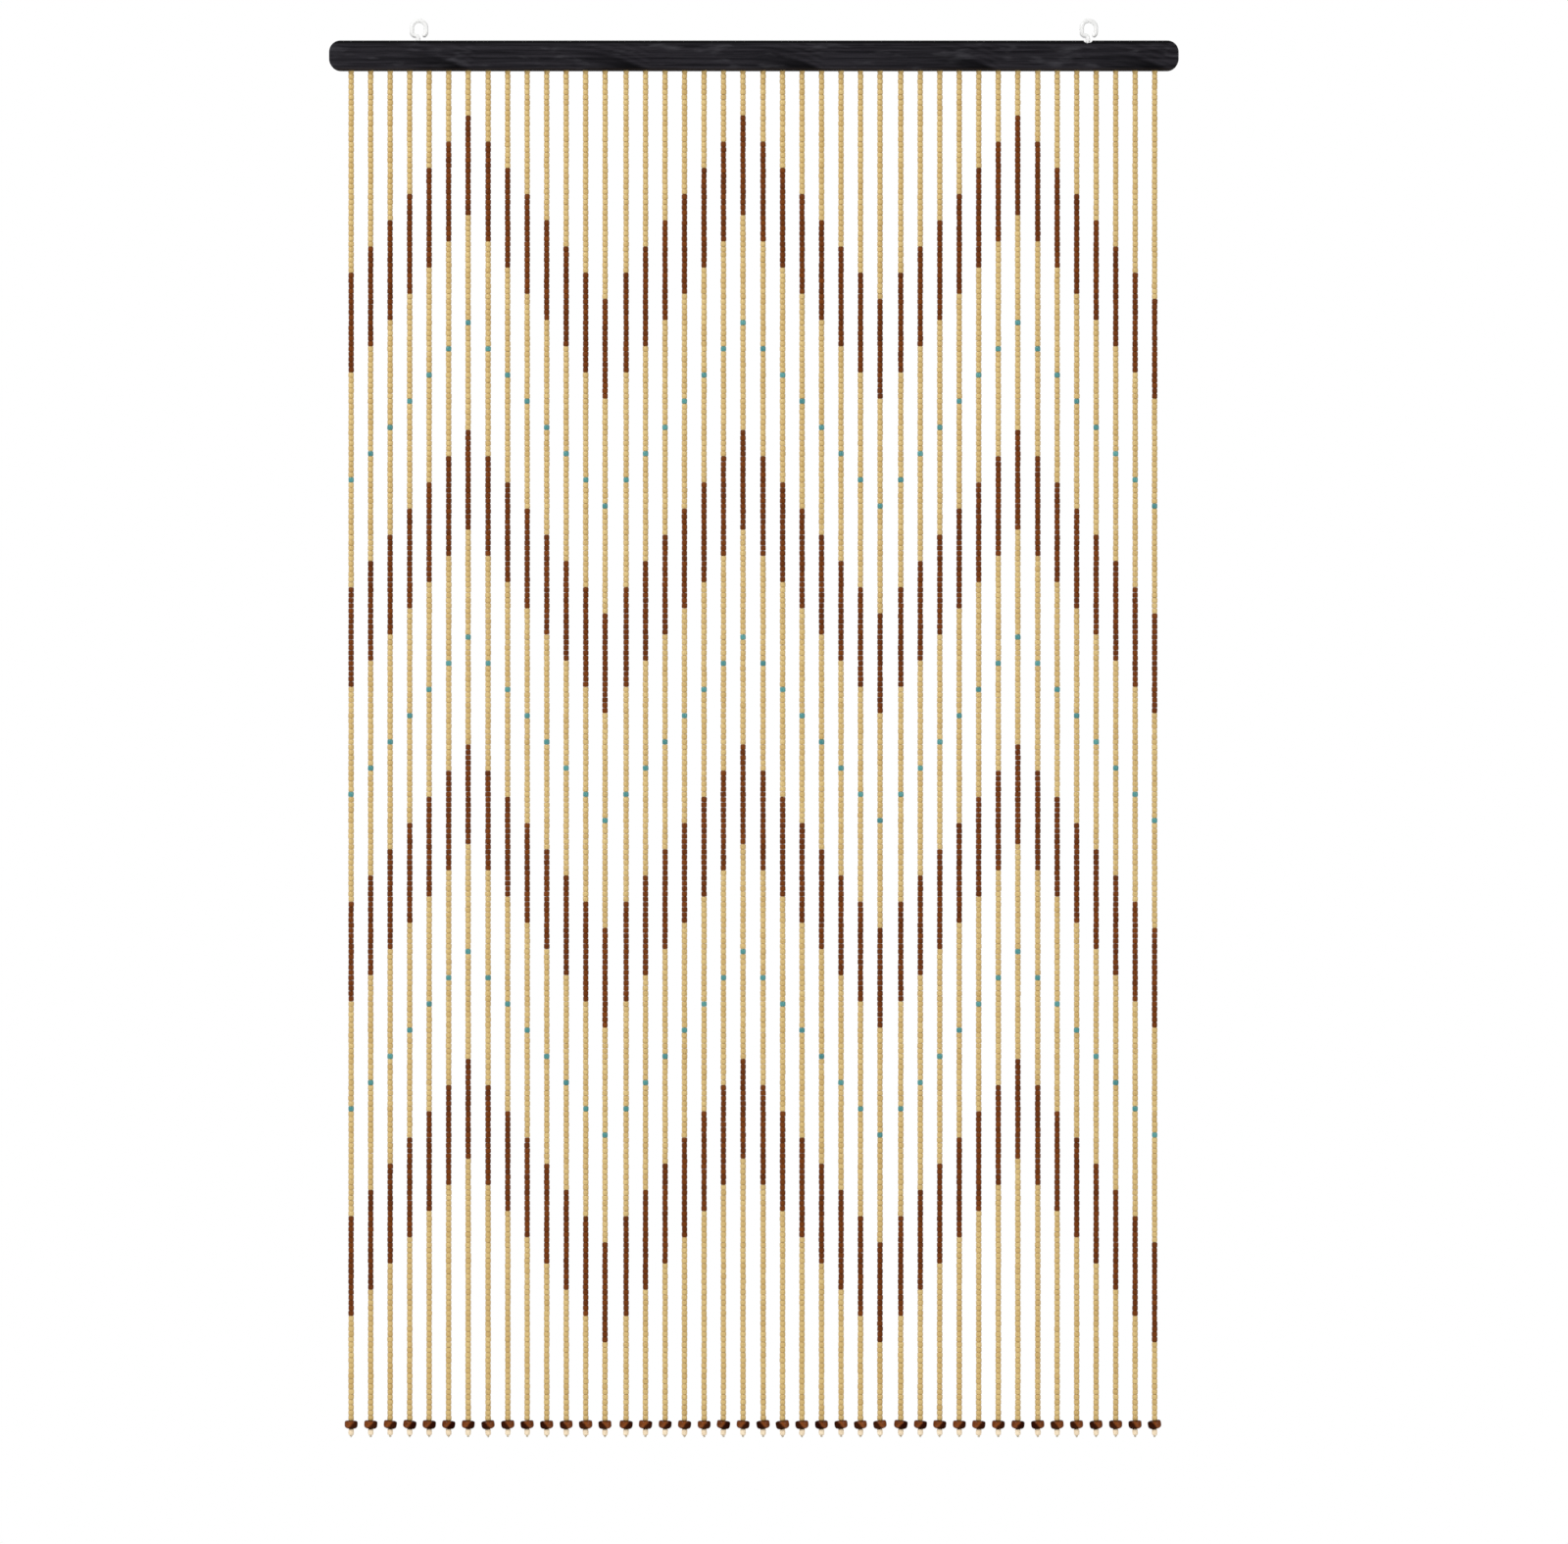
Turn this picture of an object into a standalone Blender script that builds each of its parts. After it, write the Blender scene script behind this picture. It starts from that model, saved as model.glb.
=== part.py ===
"""Bead curtain: a black wooden header slat on two screw eyes, with forty-two strings of small wooden beads.

Each string hangs from the slat's underside and ends in a dark, flattened wooden bead with a small pale
stopper under it. The strings are plain four-sided strands at real size. They are fused at their roots into
a narrow strip, which fills the slat's groove in place of the knotted string ends.

Units are metres, +X is the right of the curtain as seen from the front, +Y points to the back, +Z is up.
The origin lies midway between the two places where the screw eyes bear on what they hang from.
"""

import math

import bmesh
import bpy
from mathutils import Matrix, Vector

# Header slat, with round corners as seen from the front
HEADER_WIDTH = 0.900
HEADER_HEIGHT = 0.0315
HEADER_DEPTH = 0.015
CORNER_RADIUS = 0.012
CORNER_STEPS = 6
EDGE_RADIUS = 0.0015
EDGE_STEPS = 2

# Screw eyes, bent from round wire, with the ring in the plane of the curtain. The ring's drop is from the
# middle of its round top to the lowest stretch of wire.
EYE_OFFSET = 0.355
EYE_WIDTH = 0.0198
EYE_WIRE = 0.0048
EYE_ABOVE_HEADER = 0.024
EYE_IN_HEADER = 0.014
EYE_SHANK_SHIFT = -0.001
EYE_NECK_RADIUS = 0.0030
EYE_RING_DROP = 0.0084
EYE_TIP_ANGLE = -60.0
EYE_ARC_STEP = 15.0

# Worn dip in the slat's top edge, under the right eye
DIP_WIDTH = 0.0096
DIP_DEPTH = 0.0028
DIP_RADIUS = (DIP_WIDTH**2 / 4.0 + DIP_DEPTH**2) / (2.0 * DIP_DEPTH)
DIP_SIDES = 32

# Strings of beads
STRAND_COUNT = 42
STRAND_PITCH = 0.0208
STRAND_MARGIN = 0.0226
STRAND_SIDE = 0.0056
BEAD_PITCH = 0.0055535
BEADS_PER_STRAND = 258
BEAD_TUCK = 0.0024

# What closes each string at its foot
END_BEAD_WIDTH = 0.0141
END_BEAD_HEIGHT = 0.0088
END_BEAD_FULLNESS = 3.8
END_BEAD_SIDES = 10
END_BEAD_RINGS = 6
STOPPER_WIDTH = 0.0056
STOPPER_LENGTH = 0.0080
STOPPER_SIDES = 6

# Gap between pieces that touch, the groove that takes the string ends, and overlap of fused forms
CLEARANCE = 0.0003
GROOVE_DEPTH = 0.0080
GROOVE_END_MARGIN = 0.0085
PILOT_SIDES = 16
FUSE = 0.0020
CUTTER_EXCESS = 0.002

# Levels worked out from the sizes above
EYE_TOP = EYE_WIRE
EYE_CENTRE = EYE_TOP - EYE_WIDTH / 2.0
HEADER_TOP = EYE_TOP - EYE_ABOVE_HEADER
HEADER_BOTTOM = HEADER_TOP - HEADER_HEIGHT
HEADER_CENTRE = (HEADER_TOP + HEADER_BOTTOM) / 2.0
ROOT_LEVEL = HEADER_BOTTOM + BEAD_TUCK
STRAND_FOOT = ROOT_LEVEL - BEADS_PER_STRAND * BEAD_PITCH
STOPPER_TOP = STRAND_FOOT - END_BEAD_HEIGHT
FIRST_STRAND = -HEADER_WIDTH / 2.0 + STRAND_MARGIN
STRAND_XS = [FIRST_STRAND + STRAND_PITCH * index for index in range(STRAND_COUNT)]
GROOVE_LOW_X = STRAND_XS[0] - GROOVE_END_MARGIN
GROOVE_HIGH_X = STRAND_XS[-1] + GROOVE_END_MARGIN

SMOOTH_ANGLE = math.radians(40.0)


def clear_scene():
    """Remove every object that the file starts with."""
    for item in list(bpy.data.objects):
        bpy.data.objects.remove(item, do_unlink=True)


def finish_material(name, colour, roughness, metallic=0.0):
    """Return a Principled material with the given colour, roughness and metallic value."""
    material = bpy.data.materials.new(name)
    material.use_nodes = True
    shader = material.node_tree.nodes["Principled BSDF"]
    shader.inputs["Base Color"].default_value = (*colour, 1.0)
    shader.inputs["Roughness"].default_value = roughness
    shader.inputs["Metallic"].default_value = metallic
    return material


def mesh_object(name, bm, material=None):
    """Turn a bmesh into an object of the scene and free it."""
    bmesh.ops.recalc_face_normals(bm, faces=bm.faces)
    mesh = bpy.data.meshes.new(name)
    bm.to_mesh(mesh)
    bm.free()
    if material is not None:
        mesh.materials.append(material)
    item = bpy.data.objects.new(name, mesh)
    bpy.context.collection.objects.link(item)
    return item


def add_box(bm, low, high):
    """Add a box between two corners to a bmesh and return its vertices."""
    low = Vector(low)
    high = Vector(high)
    size = high - low
    place = Matrix.Translation((low + high) / 2.0) @ Matrix.Diagonal((*size, 1.0))
    return bmesh.ops.create_cube(bm, size=1.0, matrix=place)["verts"]


def boolean(target, tool, operation):
    """Cut or join a target with a hidden tool object by an exact Boolean."""
    tool.hide_render = True
    tool.display_type = "WIRE"
    modifier = target.modifiers.new(tool.name, "BOOLEAN")
    modifier.operation = operation
    modifier.solver = "EXACT"
    modifier.object = tool


def bevel_edges(bm, edges, radius, steps):
    """Round the given edges with a circular bevel."""
    bmesh.ops.bevel(
        bm,
        geom=edges,
        offset=radius,
        segments=steps,
        profile=0.5,
        affect="EDGES",
        clamp_overlap=True,
        material=-1,
    )


def runs_along(edge, axis):
    """Tell whether an edge is parallel to a coordinate axis, given by its index."""
    direction = (edge.verts[1].co - edge.verts[0].co).normalized()
    return abs(direction[axis]) > 0.999


def build_header(material):
    """Build the slat: rounded corners, softened rims, a groove below, two pilot holes and a dip above."""
    bm = bmesh.new()
    half_width = HEADER_WIDTH / 2.0
    half_depth = HEADER_DEPTH / 2.0
    add_box(bm, (-half_width, -half_depth, HEADER_BOTTOM), (half_width, half_depth, HEADER_TOP))
    bevel_edges(bm, [edge for edge in bm.edges if runs_along(edge, 1)], CORNER_RADIUS, CORNER_STEPS)
    rims = [edge for edge in bm.edges if not runs_along(edge, 1)]
    bevel_edges(bm, rims, EDGE_RADIUS, EDGE_STEPS)
    header = mesh_object("header", bm, material)
    header.data.shade_smooth()
    header.data.set_sharp_from_angle(angle=SMOOTH_ANGLE)
    boolean(header, build_groove_cutter(), "DIFFERENCE")
    boolean(header, build_pilot_cutter(), "DIFFERENCE")
    boolean(header, build_dip_cutter(), "DIFFERENCE")
    return header


def build_groove_cutter():
    """Build the block that cuts the groove for the string ends into the slat's underside."""
    bm = bmesh.new()
    half_groove = STRAND_SIDE / 2.0 + CLEARANCE
    add_box(
        bm,
        (GROOVE_LOW_X, -half_groove, HEADER_BOTTOM - CUTTER_EXCESS),
        (GROOVE_HIGH_X, half_groove, HEADER_BOTTOM + GROOVE_DEPTH),
    )
    return mesh_object("groove_cutter", bm)


def build_pilot_cutter():
    """Build the two pins that cut the pilot holes of the screw eyes into the slat's top."""
    bm = bmesh.new()
    hole_depth = EYE_IN_HEADER + CLEARANCE
    pin_length = hole_depth + CUTTER_EXCESS
    pin_centre = HEADER_TOP + CUTTER_EXCESS - pin_length / 2.0
    radius = (EYE_WIRE / 2.0 + CLEARANCE) / math.cos(math.pi / PILOT_SIDES)
    for side in (-1.0, 1.0):
        bmesh.ops.create_cone(
            bm,
            cap_ends=True,
            segments=PILOT_SIDES,
            radius1=radius,
            radius2=radius,
            depth=pin_length,
            matrix=Matrix.Translation((side * EYE_OFFSET + EYE_SHANK_SHIFT, 0.0, pin_centre)),
        )
    return mesh_object("pilot_cutter", bm)


def build_dip_cutter():
    """Build the lying roller that cuts the dip into the slat's top edge."""
    bm = bmesh.new()
    centre = (EYE_OFFSET + EYE_SHANK_SHIFT, 0.0, HEADER_TOP - DIP_DEPTH + DIP_RADIUS)
    bmesh.ops.create_cone(
        bm,
        cap_ends=True,
        segments=DIP_SIDES,
        radius1=DIP_RADIUS,
        radius2=DIP_RADIUS,
        depth=HEADER_DEPTH + 2.0 * CUTTER_EXCESS,
        matrix=Matrix.Translation(centre) @ Matrix.Rotation(math.pi / 2.0, 4, "X"),
    )
    return mesh_object("dip_cutter", bm)


def arc_points(centre, radius, start, stop, step):
    """List the points of an arc in the X-Z plane from one angle to another, both in degrees."""
    count = max(2, round(abs(stop - start) / step))
    points = []
    for index in range(count + 1):
        angle = math.radians(start + (stop - start) * index / count)
        points.append((centre[0] + radius * math.cos(angle), centre[1] + radius * math.sin(angle)))
    return points


def eye_route():
    """List the wire's centre line in the X-Z plane, about the middle of the ring's round top: shank, neck, ring.

    The neck is a small arc that turns the shank to the left, and a corner that starts where the neck ends turns
    the wire up the ring's left side.
    The wire then runs over the round top, down the right side and round a second corner to the tip.
    """
    half_width = (EYE_WIDTH - EYE_WIRE) / 2.0
    corner_x = EYE_NECK_RADIUS - EYE_SHANK_SHIFT
    corner_radius = half_width - corner_x
    corner_z = corner_radius - EYE_RING_DROP
    neck_centre = (EYE_SHANK_SHIFT - EYE_NECK_RADIUS, -EYE_RING_DROP - EYE_NECK_RADIUS)
    shank_foot = HEADER_TOP - EYE_IN_HEADER - EYE_CENTRE
    shank = [(EYE_SHANK_SHIFT, shank_foot), (EYE_SHANK_SHIFT, HEADER_TOP - EYE_CENTRE)]
    neck = arc_points(neck_centre, EYE_NECK_RADIUS, 0.0, 90.0, EYE_ARC_STEP)
    left_corner = arc_points((-corner_x, corner_z), corner_radius, 270.0, 180.0, EYE_ARC_STEP)
    top = arc_points((0.0, 0.0), half_width, 180.0, 0.0, EYE_ARC_STEP)
    right_corner = arc_points((corner_x, corner_z), corner_radius, 0.0, EYE_TIP_ANGLE, EYE_ARC_STEP)
    return shank + neck + left_corner[1:] + top + right_corner


def build_screw_eye(name, centre_x, material):
    """Build one screw eye as a round wire along its route."""
    route = eye_route()
    curve = bpy.data.curves.new(name, "CURVE")
    curve.dimensions = "3D"
    curve.bevel_depth = EYE_WIRE / 2.0
    curve.bevel_resolution = 2
    curve.use_fill_caps = True
    spline = curve.splines.new("POLY")
    spline.points.add(len(route) - 1)
    for point, (x, z) in zip(spline.points, route):
        point.co = (x, 0.0, z, 1.0)
    curve.materials.append(material)
    eye = bpy.data.objects.new(name, curve)
    eye.location = (centre_x, 0.0, EYE_CENTRE)
    bpy.context.collection.objects.link(eye)
    return eye


def cut_across(bm, x):
    """Cut all faces of a bmesh along the upright plane at the given x."""
    geometry = bm.verts[:] + bm.edges[:] + bm.faces[:]
    bmesh.ops.bisect_plane(bm, geom=geometry, plane_co=(x, 0.0, 0.0), plane_no=(1.0, 0.0, 0.0))


def is_root(face):
    """Tell whether a face of the strip's underside is the root of a strand."""
    centre = face.calc_center_median()
    nearest = min(STRAND_XS, key=lambda x: abs(x - centre.x))
    return face.normal.z < -0.9 and abs(nearest - centre.x) < STRAND_SIDE / 4.0


def build_fringe(material):
    """Build the strip with its strands, and fuse an end bead and a stopper to the foot of each."""
    bm = bmesh.new()
    half_side = STRAND_SIDE / 2.0
    add_box(
        bm,
        (GROOVE_LOW_X + CLEARANCE, -half_side, ROOT_LEVEL),
        (GROOVE_HIGH_X - CLEARANCE, half_side, HEADER_BOTTOM + GROOVE_DEPTH - CLEARANCE),
    )
    for x in STRAND_XS:
        cut_across(bm, x - half_side)
        cut_across(bm, x + half_side)
    bm.normal_update()
    roots = [face for face in bm.faces if is_root(face)]
    grown = bmesh.ops.extrude_discrete_faces(bm, faces=roots)["faces"]
    fall = Vector((0.0, 0.0, STRAND_FOOT - FUSE - ROOT_LEVEL))
    for face in grown:
        bmesh.ops.translate(bm, verts=face.verts, vec=fall)
    fringe = mesh_object("bead_fringe", bm, material)
    boolean(fringe, build_feet(), "UNION")
    return fringe


def add_end_bead(bm, x):
    """Add the end bead of the strand at x: a sphere, filled out at its shoulders and flattened."""
    sphere = bmesh.ops.create_uvsphere(bm, u_segments=END_BEAD_SIDES, v_segments=END_BEAD_RINGS, radius=1.0)
    filling = 2.0 / END_BEAD_FULLNESS
    centre = STRAND_FOOT - END_BEAD_HEIGHT / 2.0
    for vert in sphere["verts"]:
        heading = math.atan2(vert.co.y, vert.co.x)
        reach = math.hypot(vert.co.x, vert.co.y) ** filling * END_BEAD_WIDTH / 2.0
        rise = math.copysign(abs(vert.co.z) ** filling, vert.co.z) * END_BEAD_HEIGHT / 2.0
        vert.co = (x + reach * math.cos(heading), reach * math.sin(heading), centre + rise)


def build_feet():
    """Build the end beads and stoppers that are fused to the strands' feet, as one guide object."""
    bm = bmesh.new()
    stopper_depth = STOPPER_LENGTH + FUSE
    for x in STRAND_XS:
        add_end_bead(bm, x)
    beads = mesh_object("end_bead_guide", bm)
    bm = bmesh.new()
    for x in STRAND_XS:
        bmesh.ops.create_cone(
            bm,
            cap_ends=True,
            segments=STOPPER_SIDES,
            radius1=STOPPER_WIDTH / 2.0,
            radius2=STOPPER_WIDTH / 2.0,
            depth=stopper_depth,
            matrix=Matrix.Translation((x, 0.0, STOPPER_TOP + FUSE - stopper_depth / 2.0)),
        )
    stoppers = mesh_object("stopper_guide", bm)
    boolean(beads, stoppers, "UNION")
    return beads


def main():
    """Build the four pieces of the curtain."""
    clear_scene()
    build_header(finish_material("black_wood", (0.018, 0.017, 0.019), 0.45))
    build_fringe(finish_material("bead_wood", (0.52, 0.40, 0.26), 0.50))
    eye_finish = finish_material("white_enamel", (0.80, 0.80, 0.79), 0.35)
    build_screw_eye("screw_eye_left", -EYE_OFFSET, eye_finish)
    build_screw_eye("screw_eye_right", EYE_OFFSET, eye_finish)


main()
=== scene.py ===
"""Looks of a bead curtain: a black wooden slat on two white screw eyes, with forty-two strings of beads.

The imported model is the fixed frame. The slat and the eyes are rebuilt with finer edges in the places of their
solids, and every single bead, thread, end bead, stopper and knot is made where the plain strands hang.
Units are metres, +X is the curtain's right, +Y its back, +Z up.
"""

import logging
import math
from collections.abc import Callable
from dataclasses import dataclass
from enum import Enum

import bmesh
import bpy
import numpy as np
from mathutils import Matrix, Vector


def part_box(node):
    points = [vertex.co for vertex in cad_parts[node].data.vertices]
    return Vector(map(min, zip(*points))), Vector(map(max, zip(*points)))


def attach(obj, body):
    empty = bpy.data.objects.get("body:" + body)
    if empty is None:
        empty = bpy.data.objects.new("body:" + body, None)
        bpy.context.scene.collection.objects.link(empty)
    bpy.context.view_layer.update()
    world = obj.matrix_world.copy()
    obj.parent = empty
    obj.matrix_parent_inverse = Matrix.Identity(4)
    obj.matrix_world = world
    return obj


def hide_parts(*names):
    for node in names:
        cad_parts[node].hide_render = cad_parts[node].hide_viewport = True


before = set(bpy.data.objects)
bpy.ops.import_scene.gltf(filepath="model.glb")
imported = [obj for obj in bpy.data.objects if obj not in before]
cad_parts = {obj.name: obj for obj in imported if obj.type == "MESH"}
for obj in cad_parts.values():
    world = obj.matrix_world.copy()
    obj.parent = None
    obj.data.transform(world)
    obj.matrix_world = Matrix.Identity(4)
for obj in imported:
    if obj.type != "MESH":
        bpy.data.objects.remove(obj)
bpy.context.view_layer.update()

LOG = logging.getLogger("bead_curtain")
BODY = "root"
BAKE_MAP = "OFBake"
TONE = "bead_tone"
SEED = "bead_seed"
ALONG = "bead_along"
# Per point: how far it lies towards its bead's painted shade side.
SHADEWARD = "bead_shadeward"
MM = 0.001
ORIGIN = (0.0, 0.0, 0.0)
UP = (0.0, 0.0, 1.0)
FULL_TURN = 2.0 * math.pi

# Where each copy's top, foot and side lie in its unit cell of the bake map.
CAP_SPOTS = ((0.25, 0.13), (0.75, 0.13))
CAP_REACH = 0.11
SIDE_SPAN = 0.86
SIDE_LOW = 0.30
SIDE_HALF = 0.33

BMesh = bmesh.types.BMesh
Face = bmesh.types.BMFace
Material = bpy.types.Material
Object = bpy.types.Object
Socket = bpy.types.NodeSocket


class BeadColour(Enum):
    """The three colours of string beads, with the number that stands for each in an array."""

    NATURAL = 0
    BROWN = 1
    TURQUOISE = 2


class Third(Enum):
    """The three equal runs of strings, from the left, whose small beads are joined."""

    LEFT = 0
    MIDDLE = 1
    RIGHT = 2


def srgb(red: int, green: int, blue: int) -> tuple[float, float, float, float]:
    """Return a display colour, given as 0 to 255, as a linear colour with full alpha."""
    shares = (channel / 255.0 for channel in (red, green, blue))
    linear = [share / 12.92 if share <= 0.04045 else ((share + 0.055) / 1.055) ** 2.4 for share in shares]
    return (*linear, 1.0)


def operator(operation: str, reflected: bool = False) -> Callable[["Value", object], "Value"]:
    """Make the method of one of Python's operators.

    Args:
        operation: the Math node's operation.
        reflected: whether the other number stands first.

    Returns:
        A method that joins a value and another number.
    """

    def method(self: "Value", other: object) -> "Value":
        """Add the Math node."""
        return self.joined(operation, other, self) if reflected else self.joined(operation, self, other)

    return method


class Value:
    """One number socket of a node tree, which Python's operators extend with Math nodes."""

    def __init__(self, tree: "NodeTree", socket: Socket) -> None:
        """Wrap a socket of the given tree."""
        self.tree = tree
        self.socket = socket

    def joined(self, operation: str, first: object, second: object, clamp: bool = False) -> "Value":
        """Add a Math node that joins two values or numbers."""
        node = self.tree.add("ShaderNodeMath", {0: first, 1: second}, operation=operation, use_clamp=clamp)
        return Value(self.tree, node.outputs[0])

    __add__, __radd__ = operator("ADD"), operator("ADD", reflected=True)
    __sub__, __rsub__ = operator("SUBTRACT"), operator("SUBTRACT", reflected=True)
    __mul__, __rmul__ = operator("MULTIPLY"), operator("MULTIPLY", reflected=True)
    __truediv__, __pow__ = operator("DIVIDE"), operator("POWER")

    def __abs__(self) -> "Value":
        """Return the size of this value."""
        return self.joined("ABSOLUTE", self, 0.0)

    def fract(self) -> "Value":
        """Return the part of this value after the point."""
        return self.joined("FRACT", self, 0.0)

    def wave(self) -> "Value":
        """Return a triangle wave of this value: 1 where it is whole, and 0 half way between."""
        return abs(self.fract() - 0.5) * 2.0

    def clamped(self) -> "Value":
        """Return this value held between 0 and 1."""
        return self.joined("ADD", self, 0.0, clamp=True)

    def smooth(self, low: float, high: float) -> "Value":
        """Return a smooth step of this value, from 0 at low to 1 at high."""
        sockets = {"Value": self, "From Min": low, "From Max": high}
        node = self.tree.add("ShaderNodeMapRange", sockets, interpolation_type="SMOOTHSTEP")
        return Value(self.tree, node.outputs["Result"])


class NodeTree:
    """A node tree, built by short calls."""

    def __init__(self, tree: bpy.types.NodeTree) -> None:
        """Wrap one of Blender's node trees."""
        self.tree = tree

    def add(self, kind: str, sockets: dict | None = None, **settings: object) -> bpy.types.Node:
        """Add a node.

        Args:
            kind: the node's type.
            sockets: numbers, colours, values or sockets by input name or index.
            settings: the node's own settings, such as its operation, which are set first.

        Returns:
            The new node.
        """
        node = self.tree.nodes.new(kind)
        for key, value in settings.items():
            setattr(node, key, value)
        for key, value in (sockets or {}).items():
            self.feed(node.inputs[key], value)
        return node

    def feed(self, target: Socket, value: object) -> None:
        """Link a value or socket to an input, or set the input to a constant."""
        if isinstance(value, Value):
            value = value.socket
        if isinstance(value, Socket):
            self.tree.links.new(value, target)
        else:
            target.default_value = value


class ShaderTree(NodeTree):
    """A material's node tree, with a Principled shader and the Object coordinates at hand."""

    def __init__(self, name: str) -> None:
        """Make a new material with the given name."""
        self.material = bpy.data.materials.new(name)
        self.material.use_nodes = True
        super().__init__(self.material.node_tree)
        self.shader = self.tree.nodes["Principled BSDF"]
        self.place = self.add("ShaderNodeTexCoord").outputs["Object"]

    def attribute(self, name: str) -> Value:
        """Return a number that the mesh carries at its points."""
        return Value(self, self.add("ShaderNodeAttribute", attribute_name=name).outputs["Fac"])

    def axis(self, name: str) -> Value:
        """Return the X, Y or Z part of the place."""
        return Value(self, self.add("ShaderNodeSeparateXYZ", {0: self.place}).outputs[name])

    def vector(self, operation: str, first: Socket, second: object) -> Socket:
        """Return two vectors joined by an operation."""
        return self.add("ShaderNodeVectorMath", {0: first, 1: second}, operation=operation).outputs[0]

    def noise(self, scale: object, detail: float, rough: float = 0.5, shift: Socket | None = None) -> Value:
        """Return a noise value between 0 and 1.

        Args:
            scale: how fine it is: one number, or one for each axis.
            detail: how many finer layers it has.
            rough: how strong the finer layers are.
            shift: a vector that moves it, if any.

        Returns:
            The noise value.
        """
        place = self.place
        if isinstance(scale, tuple):
            place, scale = self.vector("MULTIPLY", place, scale), 1.0
        if shift is not None:
            place = self.vector("ADD", place, shift)
        sockets = {"Vector": place, "Scale": scale, "Detail": detail, "Roughness": rough}
        return Value(self, self.add("ShaderNodeTexNoise", sockets).outputs["Fac"])

    def mix(self, factor: object, first: object, second: object) -> Socket:
        """Return a blend of two colours."""
        return self.add("ShaderNodeMix", {0: factor, 6: first, 7: second}, data_type="RGBA").outputs[2]

    def bump(self, height: Value, distance: float, strength: float) -> Socket:
        """Return a normal that follows a height."""
        sockets = {"Height": height, "Distance": distance, "Strength": strength}
        return self.add("ShaderNodeBump", sockets).outputs["Normal"]

    def finish(self, constants: dict, **links: object) -> Material:
        """Feed the Principled shader and return the material.

        Args:
            constants: inputs by name that are the same all over.
            links: base_color, roughness, normal and coat_weight.

        Returns:
            The finished material.
        """
        for name, value in constants.items():
            self.shader.inputs[name].default_value = value
        for name, value in links.items():
            self.feed(self.shader.inputs[name.replace("_", " ").title()], value)
        return self.material


@dataclass(frozen=True)
class BeadWood:
    """Finish of small turned wooden beads: grain along each bead, tone from bead to bead, and ends painted
    darker as the shade where beads meet, with a rougher, thinner coat there from wear.
    """

    name: str
    pale: tuple
    dark: tuple
    # Colour and strength of the painted shade on the bead ends where beads meet, which also sets the wear of
    # the coat there.
    rim: tuple
    rim_shade_and_wear: float
    roughness: float
    coat: float
    gloss: float = 0.35
    grain: float = 0.5
    # Painted shade colour for one side of each bead, and the painted highlight colour of the pale streak beside
    # it.
    painted_shade: tuple = ()
    streak: tuple = ()
    fibre_scale: tuple = (1500.0, 1500.0, 170.0)
    mottle_scale: tuple = (260.0, 260.0, 260.0)
    seed_steps: tuple = (31.0, 17.0, 7.0)

    def build(self) -> Material:
        """Build the material from each bead's tone, seed and place along its axis.

        With a painted shade colour given, one side of each bead is painted dark as shade, fixed in world
        direction, beside a pale streak painted as a highlight.
        """
        tree = ShaderTree(self.name)
        seed, tone, along = (tree.attribute(name) for name in (SEED, TONE, ALONG))
        shift = tree.add("ShaderNodeCombineXYZ", dict(enumerate(seed * step for step in self.seed_steps)))
        fibre = tree.noise(self.fibre_scale, 3.0, 0.6, shift.outputs[0])
        mottle = tree.noise(self.mottle_scale, 2.0, 0.5, shift.outputs[0])
        shade = (tone * 0.48 + fibre * self.grain * 0.6 + mottle * 0.34 - 0.06).clamped()
        colour = tree.mix(shade, self.dark, self.pale)
        coat = self.coat
        if self.painted_shade:
            # Painted shade and painted highlight: the side towards the shade direction is painted dark and
            # loses its coat, with a pale streak beside it painted as a highlight.
            depth = tree.attribute(SHADEWARD) + (mottle - 0.5) * 0.35
            highlight_part = depth.smooth(-0.55, -0.22) * (1.0 - depth.smooth(-0.16, 0.02)) * 0.4
            shade_part = depth.smooth(-0.10, 0.18) * (1.0 - tone * 0.2)
            colour = tree.mix(shade_part, tree.mix(highlight_part, colour, self.streak), self.painted_shade)
            coat = coat - shade_part * coat
        # Painted shade: the bead ends, where beads meet, are painted in the darker rim colour. The same mask
        # also roughens and thins the coat there as wear.
        painted_light_and_wear = along.smooth(0.55, 1.0) * self.rim_shade_and_wear * (0.6 + mottle * 0.8)
        colour = tree.mix(painted_light_and_wear.clamped(), colour, self.rim)
        return tree.finish(
            {"Coat Roughness": 0.22, "Coat IOR": 1.45, "IOR": 1.46, "Specular IOR Level": self.gloss},
            base_color=colour,
            roughness=(self.roughness + (fibre - 0.5) * 0.22 + painted_light_and_wear * 0.12).clamped(),
            coat_weight=(coat - painted_light_and_wear * self.coat).clamped(),
            normal=tree.bump(fibre, 0.05 * MM, 0.5),
        )


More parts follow.
